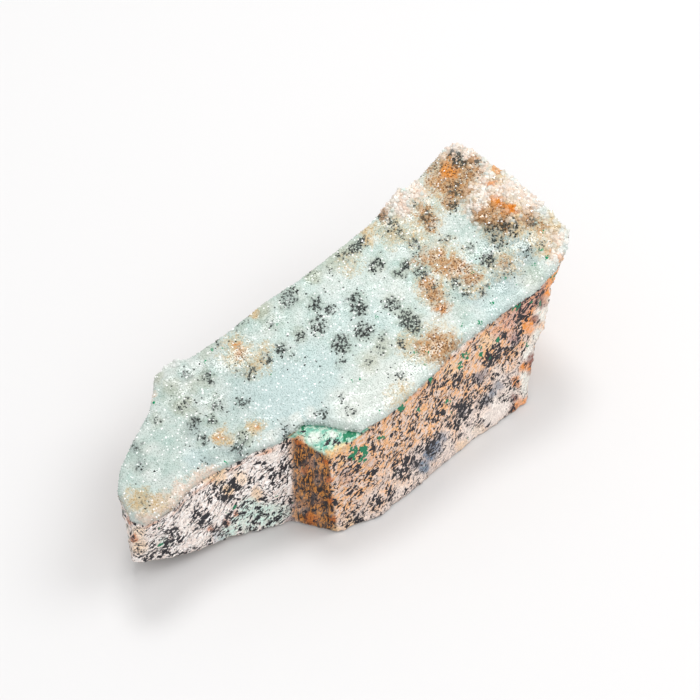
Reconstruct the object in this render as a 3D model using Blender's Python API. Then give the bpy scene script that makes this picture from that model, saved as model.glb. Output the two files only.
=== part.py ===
"""Rough chrysocolla malachite: a broken block of speckled host rock under a crust of sugary quartz.

The stone lies along X on a flat spot of its underside, crust up, with the step in its near side at -Y.
Lengths below are in millimetres and are turned into metres when a mesh is finished.
"""

import math
import random

import bmesh
import bpy
from mathutils import Vector, noise

MM = 0.001

# Moves the stone from the corners' own zero so that its box stands centred on the origin
CENTRE_SHIFT = (-0.22, 0.50, 0.0)

# Height of the crust's top along X, and of the seam between crust and rock, flat between stations
CREST = (
    (-47.0, 18.8), (-25.0, 19.5), (-10.0, 21.2), (10.0, 23.6), (25.0, 26.0), (36.0, 28.2), (47.0, 29.7),
)
SEAM = (
    (-47.0, 16.6), (-25.0, 17.9), (-10.0, 19.6), (10.0, 21.9), (25.0, 24.1), (36.0, 25.9), (47.0, 27.2),
)
SEAM_GAP = 0.3

# The underside is flat but for the left end, which lifts off the surface, and a chamfer round the foot
LIFT_START = -24.0
LIFT_SLOPE = 0.17
PAD_INSET = 1.1
FOOT_RISE = 0.35

# Corners of the rock round the stone, from the left tip along the near side: at the seam, then at the foot
ROCK_CORNERS = (
    ((-45.9, -7.0), (-45.0, -4.4)),
    ((-44.4, -9.0), (-43.2, -5.6)),
    ((-39.0, -9.3), (-38.5, -7.4)),
    ((-34.5, -8.2), (-34.0, -8.2)),
    ((-28.5, -8.4), (-28.0, -8.4)),
    ((-22.5, -8.9), (-23.0, -9.8)),
    ((-18.7, -10.2), (-19.6, -10.9)),
    ((-16.0, -10.2), (-17.7, -11.5)),
    ((-15.0, -13.4), (-15.9, -14.9)),
    ((-14.0, -16.9), (-13.6, -18.4)),
    ((-9.5, -17.8), (-9.8, -19.4)),
    ((-4.5, -18.0), (-5.5, -20.1)),
    ((1.0, -17.8), (0.5, -19.5)),
    ((7.0, -17.1), (7.0, -18.9)),
    ((13.5, -15.6), (14.0, -18.2)),
    ((20.0, -15.3), (20.0, -17.7)),
    ((27.0, -15.3), (26.0, -17.1)),
    ((33.0, -15.6), (31.0, -16.9)),
    ((37.3, -14.6), (32.8, -15.2)),
    ((43.0, -11.4), (36.0, -10.7)),
    ((45.2, -6.6), (37.8, -5.2)),
    ((45.4, 2.0), (39.4, 3.0)),
    ((45.0, 10.5), (39.8, 10.0)),
    ((44.0, 16.3), (39.0, 14.8)),
    ((41.6, 18.2), (36.5, 16.6)),
    ((35.0, 16.9), (31.0, 15.8)),
    ((27.5, 16.0), (25.0, 14.6)),
    ((19.0, 15.0), (17.5, 12.9)),
    ((9.0, 14.3), (8.5, 13.4)),
    ((-1.0, 14.2), (-1.0, 11.8)),
    ((-11.0, 13.5), (-10.5, 12.6)),
    ((-19.0, 13.9), (-18.5, 11.6)),
    ((-24.6, 14.5), (-24.0, 12.6)),
    ((-27.2, 12.0), (-27.0, 10.8)),
    ((-31.0, 8.6), (-30.5, 7.2)),
    ((-36.5, 5.4), (-36.0, 4.0)),
    ((-41.2, 2.0), (-41.0, 0.6)),
    ((-44.3, -1.6), (-43.8, -1.8)),
)
RING_LEVELS = (0.14, 0.28, 0.42, 0.56, 0.70, 0.85, 1.0)
REACH_X = 48.0
REACH_Y = 20.0
ROCK_CELL = 2.4

# Broken relief of the sides: size, depth and seed of each layer, deeper at the back and at the thick end
ROCK_SWELL = (9.0, 0.7, 3.0)
ROCK_GRAIN = (2.6, 0.5, 8.0)
BACK_FROM_X = 33.0
BACK_FROM_Y = 5.0
BACK_DEEPER = 1.7
RIM_GRIP = 0.35

# Edge of the crust seen from above, from the left tip along the near side
CRUST_EDGE = (
    (-46.3, -6.9), (-44.9, -9.3), (-42.3, -9.9), (-38.9, -9.7), (-35.6, -8.7), (-32.3, -8.2),
    (-28.0, -8.6), (-22.7, -9.2), (-18.7, -10.5), (-16.2, -10.3), (-13.4, -10.3), (-11.2, -13.0),
    (-9.4, -16.4), (-8.2, -17.8), (-2.8, -18.5), (1.0, -18.2), (4.8, -17.6), (9.8, -17.1),
    (13.9, -15.9), (20.5, -15.7), (26.0, -15.6), (32.0, -16.2), (37.5, -15.2), (41.6, -13.2),
    (44.6, -11.0), (45.4, -5.6), (45.8, 1.7), (46.3, 5.6), (45.6, 10.0), (45.7, 16.4),
    (44.9, 18.9), (42.2, 19.6), (38.6, 18.5), (35.0, 17.8), (30.5, 16.8), (26.1, 16.8),
    (21.5, 15.8), (14.5, 15.5), (6.0, 14.8), (-2.0, 15.0), (-11.0, 14.2), (-18.6, 14.2),
    (-20.6, 15.6), (-25.2, 15.2), (-27.6, 12.4), (-30.8, 9.4), (-36.0, 6.4), (-41.0, 3.0),
    (-44.6, -0.8),
)
CRUST_RINGS = ((0.6, 0.0), (0.2, 0.3), (0.35, 0.7), (1.1, 1.0))
CRUST_CELL = 1.55
CRUST_SUGAR = (1.9, 0.26, 2.0)
CRUST_WAVE = 0.3
WAVE_PITCH = 0.16
EDGE_RAGGED = (2.4, 0.5, 6.0)

# The bare corner past the flake line, which slopes down from the crust to the rock's corner
FLAKE_LINE = ((-8.2, -18.6), (-14.1, -9.6))
LEDGE_INNER = -9.9
LEDGE_SPAN_X = (-16.5, -7.5)
LEDGE_SPAN_Y = (-19.0, -9.0)
LEDGE_SLOPE = 0.24
LEDGE_LUMP = (2.2, 0.4, 5.0)
LEDGE_CELL = 1.2

# A face counts as upper when its normal rises more than this, a corner as sideways when it leans so far
UPPER = 0.75
SIDEWAYS = 0.3
CUT_WELD = 0.02

# Raised quartz on the crust: centre, half-lengths along X and Y, and height
LUMPS = (
    ((38.6, 0.4), (4.9, 5.2), 2.4),
    ((28.2, 14.8), (4.2, 2.6), 1.2),
    ((42.6, 12.0), (2.8, 4.8), 1.0),
    ((2.0, -12.4), (11.0, 4.6), 0.55),
    ((12.0, -12.6), (4.2, 3.2), 0.6),
    ((-23.2, 13.6), (3.2, 2.4), 0.5),
    ((33.4, -8.0), (5.0, 4.0), -0.5),
    ((-12.0, 3.0), (14.0, 6.0), -0.35),
)
QUARTZ_SEED = 4
QUARTZ_SITES = (
    ((38.4, 0.4), (4.4, 4.8), 36),
    ((28.4, 13.9), (3.4, 1.9), 13),
    ((42.5, 12.4), (1.5, 4.6), 13),
)
QUARTZ_WIDTH = (0.65, 1.25)
QUARTZ_LENGTH = 1.9
QUARTZ_ROOT = 1.05
QUARTZ_TAPER = 0.92
QUARTZ_PEAK = 0.8
QUARTZ_SPLAY = 0.8
QUARTZ_STRAY = 0.3
GOLDEN_TURN = math.radians(137.5)


def along(stations, x):
    """Height read from stations of x and height, straight between them."""
    for (x0, z0), (x1, z1) in zip(stations, stations[1:]):
        if x <= x1:
            return z0 + (z1 - z0) * (x - x0) / (x1 - x0)
    return stations[-1][1]


def seam(x):
    return along(SEAM, x)


def lift(x):
    return max(0.0, (LIFT_START - x) * LIFT_SLOPE)


def lumpHeight(x, y):
    """Height that the raised quartz adds at a place on the crust, steep at the side and round on top."""
    height = 0.0
    for (cx, cy), (rx, ry), rise in LUMPS:
        reach = math.hypot((x - cx) / rx, (y - cy) / ry)
        height += rise / (1.0 + reach ** 4)
    return height


def inset(outline, distance):
    """The outline moved inward by a distance, with sharp corners held back to twice that."""
    moved = []
    count = len(outline)
    for i, point in enumerate(outline):
        here = Vector(point)
        before = (here - Vector(outline[i - 1])).normalized()
        after = (Vector(outline[(i + 1) % count]) - here).normalized()
        inward = Vector((-before.y - after.y, before.x + after.x)).normalized()
        reach = distance / max(0.5, inward.dot(Vector((-before.y, before.x))))
        moved.append(here + inward * reach)
    return moved


def loft(rings):
    """A closed body drawn up through rings of equally many points; returns it with its top face."""
    bm = bmesh.new()
    face = bm.faces.new([bm.verts.new(point) for point in rings[0]])
    for lower, upper in zip(rings, rings[1:]):
        made = bmesh.ops.extrude_face_region(bm, geom=[face, *face.edges, *face.verts])["geom"]
        face = next(item for item in made if isinstance(item, bmesh.types.BMFace))
        for vert in face.verts:
            place = min(range(len(lower)), key=lambda i: (Vector(lower[i]) - vert.co).length_squared)
            vert.co = upper[place]
    bmesh.ops.recalc_face_normals(bm, faces=bm.faces[:])
    return bm, face


def whole(faces):
    """Faces with their edges and corners, each once and in a fixed order."""
    return list(dict.fromkeys(item for face in faces for item in (face, *face.edges, *face.verts)))


def cutAcross(bm, faces, axis, start, stop, cell):
    """Cuts faces by planes a cell apart along an axis, and returns the faces that this leaves."""
    normal = Vector([1.0 if i == axis else 0.0 for i in range(3)])
    steps = int((stop - start) / cell)
    for k in range(1, steps):
        cut = bmesh.ops.bisect_plane(
            bm, geom=whole(faces), dist=CUT_WELD, plane_co=normal * (start + k * cell), plane_no=normal
        )
        faces = [item for item in cut["geom"] if isinstance(item, bmesh.types.BMFace)]
    return faces


def cutAtStations(bm, face):
    """Cuts a face along the seam's stations, and returns the strips that this leaves."""
    strips = [face]
    for x, _ in SEAM[1:-1]:
        cut = bmesh.ops.bisect_plane(
            bm, geom=whole(strips), dist=CUT_WELD, plane_co=(x, 0.0, 0.0), plane_no=(1.0, 0.0, 0.0)
        )
        strips = [item for item in cut["geom"] if isinstance(item, bmesh.types.BMFace)]
    return strips


def relief(place, layer):
    """Height of one layer of broken relief at a place, with flats and sharp steps of its size."""
    size, depth, seed = layer
    spot = place / size + Vector((seed, -seed, 0.5 * seed))
    flats = noise.voronoi(spot)[0]
    return depth * max(-1.0, min(1.0, 1.2 * (flats[1] - flats[0]) - 0.5 + 0.6 * noise.noise(spot * 0.7)))


def makeObject(name, bm, material):
    """Turns a mesh drawn in millimetres into an object in metres, with flat facets."""
    bmesh.ops.triangulate(bm, faces=bm.faces[:])
    bmesh.ops.recalc_face_normals(bm, faces=bm.faces[:])
    bmesh.ops.translate(bm, verts=bm.verts[:], vec=CENTRE_SHIFT)
    bmesh.ops.scale(bm, vec=(MM, MM, MM), verts=bm.verts[:])
    mesh = bpy.data.meshes.new(name)
    bm.to_mesh(mesh)
    bm.free()
    mesh.materials.append(material)
    obj = bpy.data.objects.new(name, mesh)
    bpy.context.scene.collection.objects.link(obj)
    return obj


def makeMaterial(name, colour, roughness):
    material = bpy.data.materials.new(name)
    material.use_nodes = True
    shader = material.node_tree.nodes["Principled BSDF"]
    shader.inputs["Base Color"].default_value = (*colour, 1.0)
    shader.inputs["Roughness"].default_value = roughness
    shader.inputs["Metallic"].default_value = 0.0
    return material


def onLedge(x, y):
    """How far a place lies past the flake line, toward the rock's bare corner; negative under the crust."""
    start, end = Vector(FLAKE_LINE[0]), Vector(FLAKE_LINE[1])
    run = (end - start).normalized()
    away = Vector((x, y)) - start
    return away.x * -run.y + away.y * run.x


def bare(place):
    """Whether a place on the seam is on the ledge past the flake line, beside the step."""
    beside = LEDGE_SPAN_X[0] < place.x < LEDGE_SPAN_X[1] and place.y < LEDGE_INNER
    return beside and onLedge(place.x, place.y) > 0.0


def hostRock():
    """The block under the crust, from its flat foot to the seam, with broken sides and the bare ledge."""
    plan = [Vector(corner[0]) for corner in ROCK_CORNERS]
    foot = [Vector(corner[1]) for corner in ROCK_CORNERS]
    pad = inset([tuple(point) for point in foot], PAD_INSET)
    rings = [[(p.x, p.y, lift(p.x)) for p in pad]]
    rings.append([(p.x, p.y, lift(p.x) + FOOT_RISE) for p in foot])
    for level in RING_LEVELS:
        ring = []
        for low, high in zip(foot, plan):
            p = low.lerp(high, level)
            ring.append((p.x, p.y, (1.0 - level) * (lift(p.x) + FOOT_RISE) + level * seam(p.x)))
        rings.append(ring)
    bm, top = loft(rings)

    sides = [face for face in bm.faces if abs(face.normal.z) < UPPER]
    sides = cutAcross(bm, sides, 0, -REACH_X, REACH_X, ROCK_CELL)
    cutAcross(bm, sides, 1, -REACH_Y, REACH_Y, ROCK_CELL)

    strips = cutAtStations(bm, top)
    run = Vector((FLAKE_LINE[1][0] - FLAKE_LINE[0][0], FLAKE_LINE[1][1] - FLAKE_LINE[0][1], 0.0))
    across = Vector((-run.y, run.x, 0.0)).normalized()
    start = (*FLAKE_LINE[0], 0.0)
    bmesh.ops.bisect_plane(bm, geom=whole(strips), dist=CUT_WELD, plane_co=start, plane_no=across)
    uppers = [face for face in bm.faces if face.normal.z > UPPER]
    outer = [face for face in uppers if onLedge(*face.calc_center_median().xy) > 0.0]
    bmesh.ops.bisect_plane(
        bm, geom=whole(outer), dist=CUT_WELD, plane_co=(0.0, LEDGE_INNER, 0.0), plane_no=(0.0, 1.0, 0.0)
    )
    ledge = [face for face in bm.faces if face.normal.z > UPPER and bare(face.calc_center_median())]
    ledge = cutAcross(bm, ledge, 0, *LEDGE_SPAN_X, LEDGE_CELL)
    ledge = cutAcross(bm, ledge, 1, *LEDGE_SPAN_Y, LEDGE_CELL)
    ledgeVerts = {vert for face in ledge for vert in face.verts}
    seamVerts = {vert for face in bm.faces if face.normal.z > UPPER for vert in face.verts}

    bm.normal_update()
    for vert in bm.verts:
        place = vert.co.copy()
        outward = Vector((vert.normal.x, vert.normal.y, 0.0))
        past = max(0.0, onLedge(place.x, place.y)) if vert in ledgeVerts else 0.0
        if outward.length > SIDEWAYS and place.z > lift(place.x) + FOOT_RISE / 2:
            deeper = BACK_DEEPER if place.y > BACK_FROM_Y or place.x > BACK_FROM_X else 1.0
            grip = RIM_GRIP if vert in seamVerts else 1.0
            push = relief(place, ROCK_SWELL) + relief(place, ROCK_GRAIN)
            vert.co += outward.normalized() * push * grip * deeper
        if vert in seamVerts:
            lump = relief(place, LEDGE_LUMP) * min(1.0, past)
            vert.co.z = seam(vert.co.x) + lump - past * LEDGE_SLOPE
    return makeObject("host_rock", bm, makeMaterial("rock", (0.62, 0.50, 0.43), 0.85))


def quartzPoint(bm, place, width, axis):
    """A six-sided quartz point along an axis: a short prism with a pyramid on it."""
    made = bmesh.ops.create_cone(
        bm, cap_ends=True, segments=6, radius1=width, radius2=width * QUARTZ_TAPER, depth=QUARTZ_LENGTH
    )["verts"]
    upper = [vert for vert in made if vert.co.z > 0.0]
    cap = next(face for face in upper[0].link_faces if all(vert in upper for vert in face.verts))
    peak = bmesh.ops.poke(bm, faces=[cap])["verts"][0]
    peak.co.z += width * QUARTZ_PEAK
    turn = Vector((0.0, 0.0, 1.0)).rotation_difference(axis)
    verts = [*made, peak]
    bmesh.ops.rotate(bm, verts=verts, cent=(0.0, 0.0, 0.0), matrix=turn.to_matrix())
    bmesh.ops.translate(bm, verts=verts, vec=place)


def quartzPoints():
    """The coarser points that stand on the raised quartz and lean outward, to be joined to the crust."""
    pick = random.Random(QUARTZ_SEED)
    bm = bmesh.new()
    for (cx, cy), (rx, ry), count in QUARTZ_SITES:
        for i in range(count):
            angle = GOLDEN_TURN * i
            reach = math.sqrt((i + 0.5) / count)
            x = cx + rx * reach * math.cos(angle)
            y = cy + ry * reach * math.sin(angle)
            splay = QUARTZ_SPLAY * reach
            lean = Vector((math.cos(angle) * splay, math.sin(angle) * splay, 1.0))
            lean.x += pick.uniform(-QUARTZ_STRAY, QUARTZ_STRAY)
            lean.y += pick.uniform(-QUARTZ_STRAY, QUARTZ_STRAY)
            z = along(CREST, x) + lumpHeight(x, y) - QUARTZ_ROOT
            quartzPoint(bm, (x, y, z), pick.uniform(*QUARTZ_WIDTH), lean.normalized())
    tool = makeObject("quartz_points", bm, makeMaterial("quartz", (0.86, 0.80, 0.76), 0.25))
    tool.hide_render = True
    tool.display_type = "WIRE"
    return tool


def druseCrust():
    """The crust on the seam: a rolled rim round a top of small flat facets, with the raised quartz."""
    edge = CRUST_EDGE
    rings = []
    for distance, share in CRUST_RINGS:
        ring = []
        for p in inset(edge, distance):
            low = seam(p.x) + SEAM_GAP
            ring.append((p.x, p.y, low + share * (along(CREST, p.x) - low)))
        rings.append(ring)
    bm, top = loft(rings)

    under = min(bm.faces, key=lambda face: face.normal.z)
    underVerts = {vert for strip in cutAtStations(bm, under) for vert in strip.verts}
    faces = cutAcross(bm, [top], 0, -REACH_X, REACH_X, CRUST_CELL)
    faces = cutAcross(bm, faces, 1, -REACH_Y, REACH_Y, CRUST_CELL)
    topVerts = {vert for face in faces for vert in face.verts}
    bm.normal_update()
    for vert in bm.verts:
        place = vert.co.copy()
        if vert in topVerts:
            wave = CRUST_WAVE * noise.noise(place * WAVE_PITCH)
            raised = lumpHeight(place.x, place.y) + relief(place, CRUST_SUGAR)
            vert.co.z = along(CREST, place.x) + raised + wave
        elif vert in underVerts:
            vert.co.z = seam(place.x) + SEAM_GAP
        else:
            outward = Vector((vert.normal.x, vert.normal.y, 0.0)).normalized()
            vert.co += outward * relief(place, EDGE_RAGGED)
    crust = makeObject("druse_crust", bm, makeMaterial("crust", (0.60, 0.74, 0.70), 0.35))
    joined = crust.modifiers.new("quartz points", "BOOLEAN")
    joined.operation = "UNION"
    joined.solver = "EXACT"
    joined.use_self = True
    joined.object = quartzPoints()
    return crust


def main():
    for obj in list(bpy.data.objects):
        bpy.data.objects.remove(obj, do_unlink=True)
    hostRock()
    druseCrust()


main()
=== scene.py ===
import math
import bmesh
import bpy
import numpy as np
from mathutils import Matrix, Vector, noise


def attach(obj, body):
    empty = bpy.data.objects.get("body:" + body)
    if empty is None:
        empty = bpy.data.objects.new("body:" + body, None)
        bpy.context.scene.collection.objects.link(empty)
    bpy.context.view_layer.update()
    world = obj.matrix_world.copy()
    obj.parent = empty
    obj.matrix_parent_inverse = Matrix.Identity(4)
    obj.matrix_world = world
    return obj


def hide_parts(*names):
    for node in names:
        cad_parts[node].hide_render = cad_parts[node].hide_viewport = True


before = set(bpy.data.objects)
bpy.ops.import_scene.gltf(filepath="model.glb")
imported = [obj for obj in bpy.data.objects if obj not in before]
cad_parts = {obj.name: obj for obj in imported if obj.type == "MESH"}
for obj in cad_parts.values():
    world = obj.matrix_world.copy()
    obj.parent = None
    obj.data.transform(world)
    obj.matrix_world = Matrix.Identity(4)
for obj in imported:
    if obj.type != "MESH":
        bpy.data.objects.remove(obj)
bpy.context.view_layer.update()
mm = 0.001
scene = bpy.context.scene
print("frame loaded")

# The camera stands where the photograph was taken from; places on the stone are named in its pixels
photoView = {
    "azimuth": -40.0,
    "elevation": 45.0,
    "fieldOfView": 16.0,
    "distance": 423.4 * mm,
    "lookAt": (7.88 * mm, 4.55 * mm, 12.0 * mm),
    "side": 700,
}
turn = math.radians(photoView["azimuth"])
rise = math.radians(photoView["elevation"])
viewBack = Vector((math.sin(turn) * math.cos(rise), -math.cos(turn) * math.cos(rise), math.sin(rise)))
viewRight = Vector((math.cos(turn), math.sin(turn), 0.0))
viewUp = viewBack.cross(viewRight)
viewEye = Vector(photoView["lookAt"]) + viewBack * photoView["distance"]
focal = photoView["side"] / 2 / math.tan(math.radians(photoView["fieldOfView"]) / 2)


def photoPixels(points):
    # where places on the stone fall in the photograph, as columns of x and y
    away = np.asarray(points) - np.array(viewEye)
    depth = -(away @ np.array(viewBack))
    across = photoView["side"] / 2 + focal * (away @ np.array(viewRight)) / depth
    down = photoView["side"] / 2 - focal * (away @ np.array(viewUp)) / depth
    return np.stack([across, down], axis=1)


def addCamera():
    data = bpy.data.cameras.new("photo_camera")
    data.angle = math.radians(photoView["fieldOfView"])
    data.clip_start = 0.01
    data.clip_end = 20.0
    camera = bpy.data.objects.new("photo_camera", data)
    pose = Matrix((viewRight, viewUp, viewBack)).transposed().to_4x4()
    pose.translation = viewEye
    camera.matrix_world = pose
    scene.collection.objects.link(camera)
    scene.camera = camera


# Soft light from all round, with lamps high on the right, overhead and in front, above a pale paper floor
lighting = {
    "world": 0.78,
    "keyPlace": (0.32, -0.20, 0.54), "keySize": 0.40, "keyPower": 1.3,
    "backPlace": (0.12, 0.20, 0.66), "backSize": 0.22, "backPower": 1.6,
    "frontPlace": (-0.20, -0.50, 0.60), "frontSize": 0.60, "frontPower": 1.2,
    "aim": (0.0, 0.0, 0.01), "floorReach": 2.0, "floorColour": (0.69, 0.685, 0.685, 1.0),
}


def addLamp(name, place, size, power):
    data = bpy.data.lights.new(name, "AREA")
    data.shape = "DISK"
    data.size = size
    data.energy = power
    lamp = bpy.data.objects.new(name, data)
    lamp.location = place
    lamp.rotation_euler = (Vector(lighting["aim"]) - Vector(place)).to_track_quat("-Z", "Y").to_euler()
    scene.collection.objects.link(lamp)


def addStage():
    world = bpy.data.worlds.new("studio")
    world.use_nodes = True
    world.node_tree.nodes["Background"].inputs["Color"].default_value = (1.0, 1.0, 1.0, 1.0)
    world.node_tree.nodes["Background"].inputs["Strength"].default_value = lighting["world"]
    scene.world = world
    for name in ("key", "back", "front"):
        addLamp(name + "_lamp", lighting[name + "Place"], lighting[name + "Size"], lighting[name + "Power"])
    bm = bmesh.new()
    bmesh.ops.create_grid(bm, x_segments=1, y_segments=1, size=lighting["floorReach"])
    mesh = bpy.data.meshes.new("floor")
    bm.to_mesh(mesh)
    bm.free()
    floor = bpy.data.objects.new("floor", mesh)
    scene.collection.objects.link(floor)
    material = bpy.data.materials.new("floor_paper")
    material.use_nodes = True
    shader = material.node_tree.nodes["Principled BSDF"]
    shader.inputs["Base Color"].default_value = lighting["floorColour"]
    shader.inputs["Roughness"].default_value = 0.9
    mesh.materials.append(material)
    scene.view_settings.view_transform = "Standard"


addCamera()
addStage()
print("camera, lamps and floor set")


def paint(red, green, blue):
    # a colour as seen on the stone, 0 to 255, made linear
    return np.array([((c / 255 + 0.055) / 1.055) ** 2.4 for c in (red, green, blue)])


def softSpots(pixels, spots, spread=1.0, steep=2.0):
    # how strongly a list of (x, y, radius, strength) spots covers each place
    cover = np.zeros(len(pixels))
    for x, y, radius, strength in spots:
        reach = np.hypot(pixels[:, 0] - x, pixels[:, 1] - y) / (radius * spread)
        cover = np.maximum(cover, strength * np.clip(0.6 + steep * (1.0 - reach), 0.0, 1.0))
    return cover


def softLine(pixels, path, width):
    # how strongly a line through (x, y) places covers each place
    reach = np.full(len(pixels), 1e9)
    for start, end in zip(np.array(path[:-1], dtype=float), np.array(path[1:], dtype=float)):
        run = end - start
        share = np.clip(((pixels - start) @ run) / (run @ run), 0.0, 1.0)
        reach = np.minimum(reach, np.linalg.norm(pixels - start - share[:, None] * run, axis=1))
    return np.clip(1.6 - reach / width, 0.0, 1.0)


def cloud(points, size, seed):
    # smooth random field between about -1 and 1, with patches of the given size
    shift = Vector((seed * 3.1, seed * 1.7, seed * 0.9))
    return np.array([noise.noise(Vector(p) / size + shift) for p in points])


def clouds(points, *layers):
    # several clouds added up, each given by its strength, the size of its patches and its seed
    return sum(strength * cloud(points, size, seed) for strength, size, seed in layers)


def soft(values, steep=1.0, shift=0.0):
    # values turned into shares from 0 to 1; the less steep, the softer the border between them
    return np.clip(values * steep + shift, 0.0, 1.0)


def wander(points, pixels, size, reach, seed):
    # photo places shifted about at random, so that patches end raggedly
    shift = np.stack([cloud(points, size, seed), cloud(points, size, seed + 1)], axis=1)
    return pixels + shift * reach


def blend(base, colour, share):
    return base + (colour - base) * np.clip(share, 0.0, 1.0)[:, None]


def stain(base, colour, share):
    # like blend, but mixed as pigments are, so that a little of a dark one already darkens
    share = np.clip(share, 0.0, 1.0)[:, None]
    return np.maximum(base, 1e-3) ** (1.0 - share) * np.maximum(colour, 1e-3) ** share


def keepColours(mesh, name, colours):
    layer = mesh.color_attributes.new(name, "FLOAT_COLOR", "POINT")
    rows = np.ones((len(colours), 4))
    rows[:, :3] = np.clip(colours, 0.0, 1.0)
    layer.data.foreach_set("color", rows.ravel())


def keepValues(mesh, name, values):
    layer = mesh.attributes.new(name, "FLOAT", "POINT")
    layer.data.foreach_set("value", np.clip(values, 0.0, 1.0))


def meshPoints(mesh):
    points = np.empty(len(mesh.vertices) * 3)
    mesh.vertices.foreach_get("co", points)
    return points.reshape(-1, 3)


def meshNormals(mesh):
    normals = np.empty(len(mesh.vertices) * 3)
    mesh.vertices.foreach_get("normal", normals)
    return normals.reshape(-1, 3)


def evenCopy(node, cell):
    # a copy of a CAD node, remade with even faces of the given size
    bm = bmesh.new()
    bm.from_mesh(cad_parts[node].data)
    bmesh.ops.remove_doubles(bm, verts=bm.verts[:], dist=1e-6)
    mesh = bpy.data.meshes.new(node + "_copy")
    bm.to_mesh(mesh)
    copy = bpy.data.objects.new(node + "_copy", mesh)
    scene.collection.objects.link(copy)
    remesh = copy.modifiers.new("even", "REMESH")
    remesh.mode = "VOXEL"
    remesh.voxel_size = cell
    bm.clear()
    bm.from_object(copy, bpy.context.evaluated_depsgraph_get())
    bpy.data.objects.remove(copy, do_unlink=True)
    bpy.data.meshes.remove(mesh)
    bm.normal_update()
    return bm


def finishPiece(name, bm, material):
    mesh = bpy.data.meshes.new(name)
    bm.to_mesh(mesh)
    bm.free()
    mesh.materials.append(material)
    piece = bpy.data.objects.new(name, mesh)
    scene.collection.objects.link(piece)
    return piece


def newMaterial(name):
    material = bpy.data.materials.new(name)
    material.use_nodes = True
    tree = material.node_tree
    return material, tree, tree.nodes["Principled BSDF"]


def node(tree, kind, **settings):
    made = tree.nodes.new("ShaderNode" + kind)
    for key, value in settings.items():
        setattr(made, key, value)
    return made


def link(tree, sockets, values):
    # each value is a number or colour kept on the socket, or another node's output
    for socket, value in zip(sockets, values):
        if isinstance(value, bpy.types.NodeSocket):
            tree.links.new(value, socket)
        else:
            socket.default_value = value


def ramp(tree, source, low, high):
    # a step from 0 to 1 between two values
    step = node(tree, "MapRange")
    link(tree, step.inputs[:3], (source, low, high))
    return step.outputs["Result"]


def mixColour(tree, factor, first, second):
    mixer = node(tree, "Mix", data_type="RGBA")
    link(tree, (mixer.inputs[0], mixer.inputs[6], mixer.inputs[7]), (factor, first, second))
    return mixer.outputs[2]


def maths(tree, operation, first, second):
    step = node(tree, "Math", operation=operation)
    link(tree, step.inputs, (first, second))
    return step.outputs[0]


def speckles(tree, place, scale, detail, distortion):
    spots = node(tree, "TexNoise")
    link(tree, (spots.inputs["Vector"], spots.inputs["Scale"]), (place, scale))
    link(tree, (spots.inputs["Detail"], spots.inputs["Distortion"]), (detail, distortion))
    return spots.outputs["Fac"]


def blots(tree, place, pattern, more=None):
    # noise cut off at a crisp edge, with more of it where the last value is high
    scale, detail, twist, low, high = pattern
    field = speckles(tree, place, scale, detail, twist)
    if more is not None:
        field = maths(tree, "ADD", field, more)
    return ramp(tree, field, low, high)


def stretched(tree, place, tilt, scale):
    # the place tilted and then drawn out, for flecks that all lean the same way
    mapping = node(tree, "Mapping", vector_type="TEXTURE")
    mapping.inputs["Rotation"].default_value = (0.0, math.radians(tilt), 0.0)
    mapping.inputs["Scale"].default_value = scale
    tree.links.new(place, mapping.inputs["Vector"])
    return mapping.outputs[0]


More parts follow.
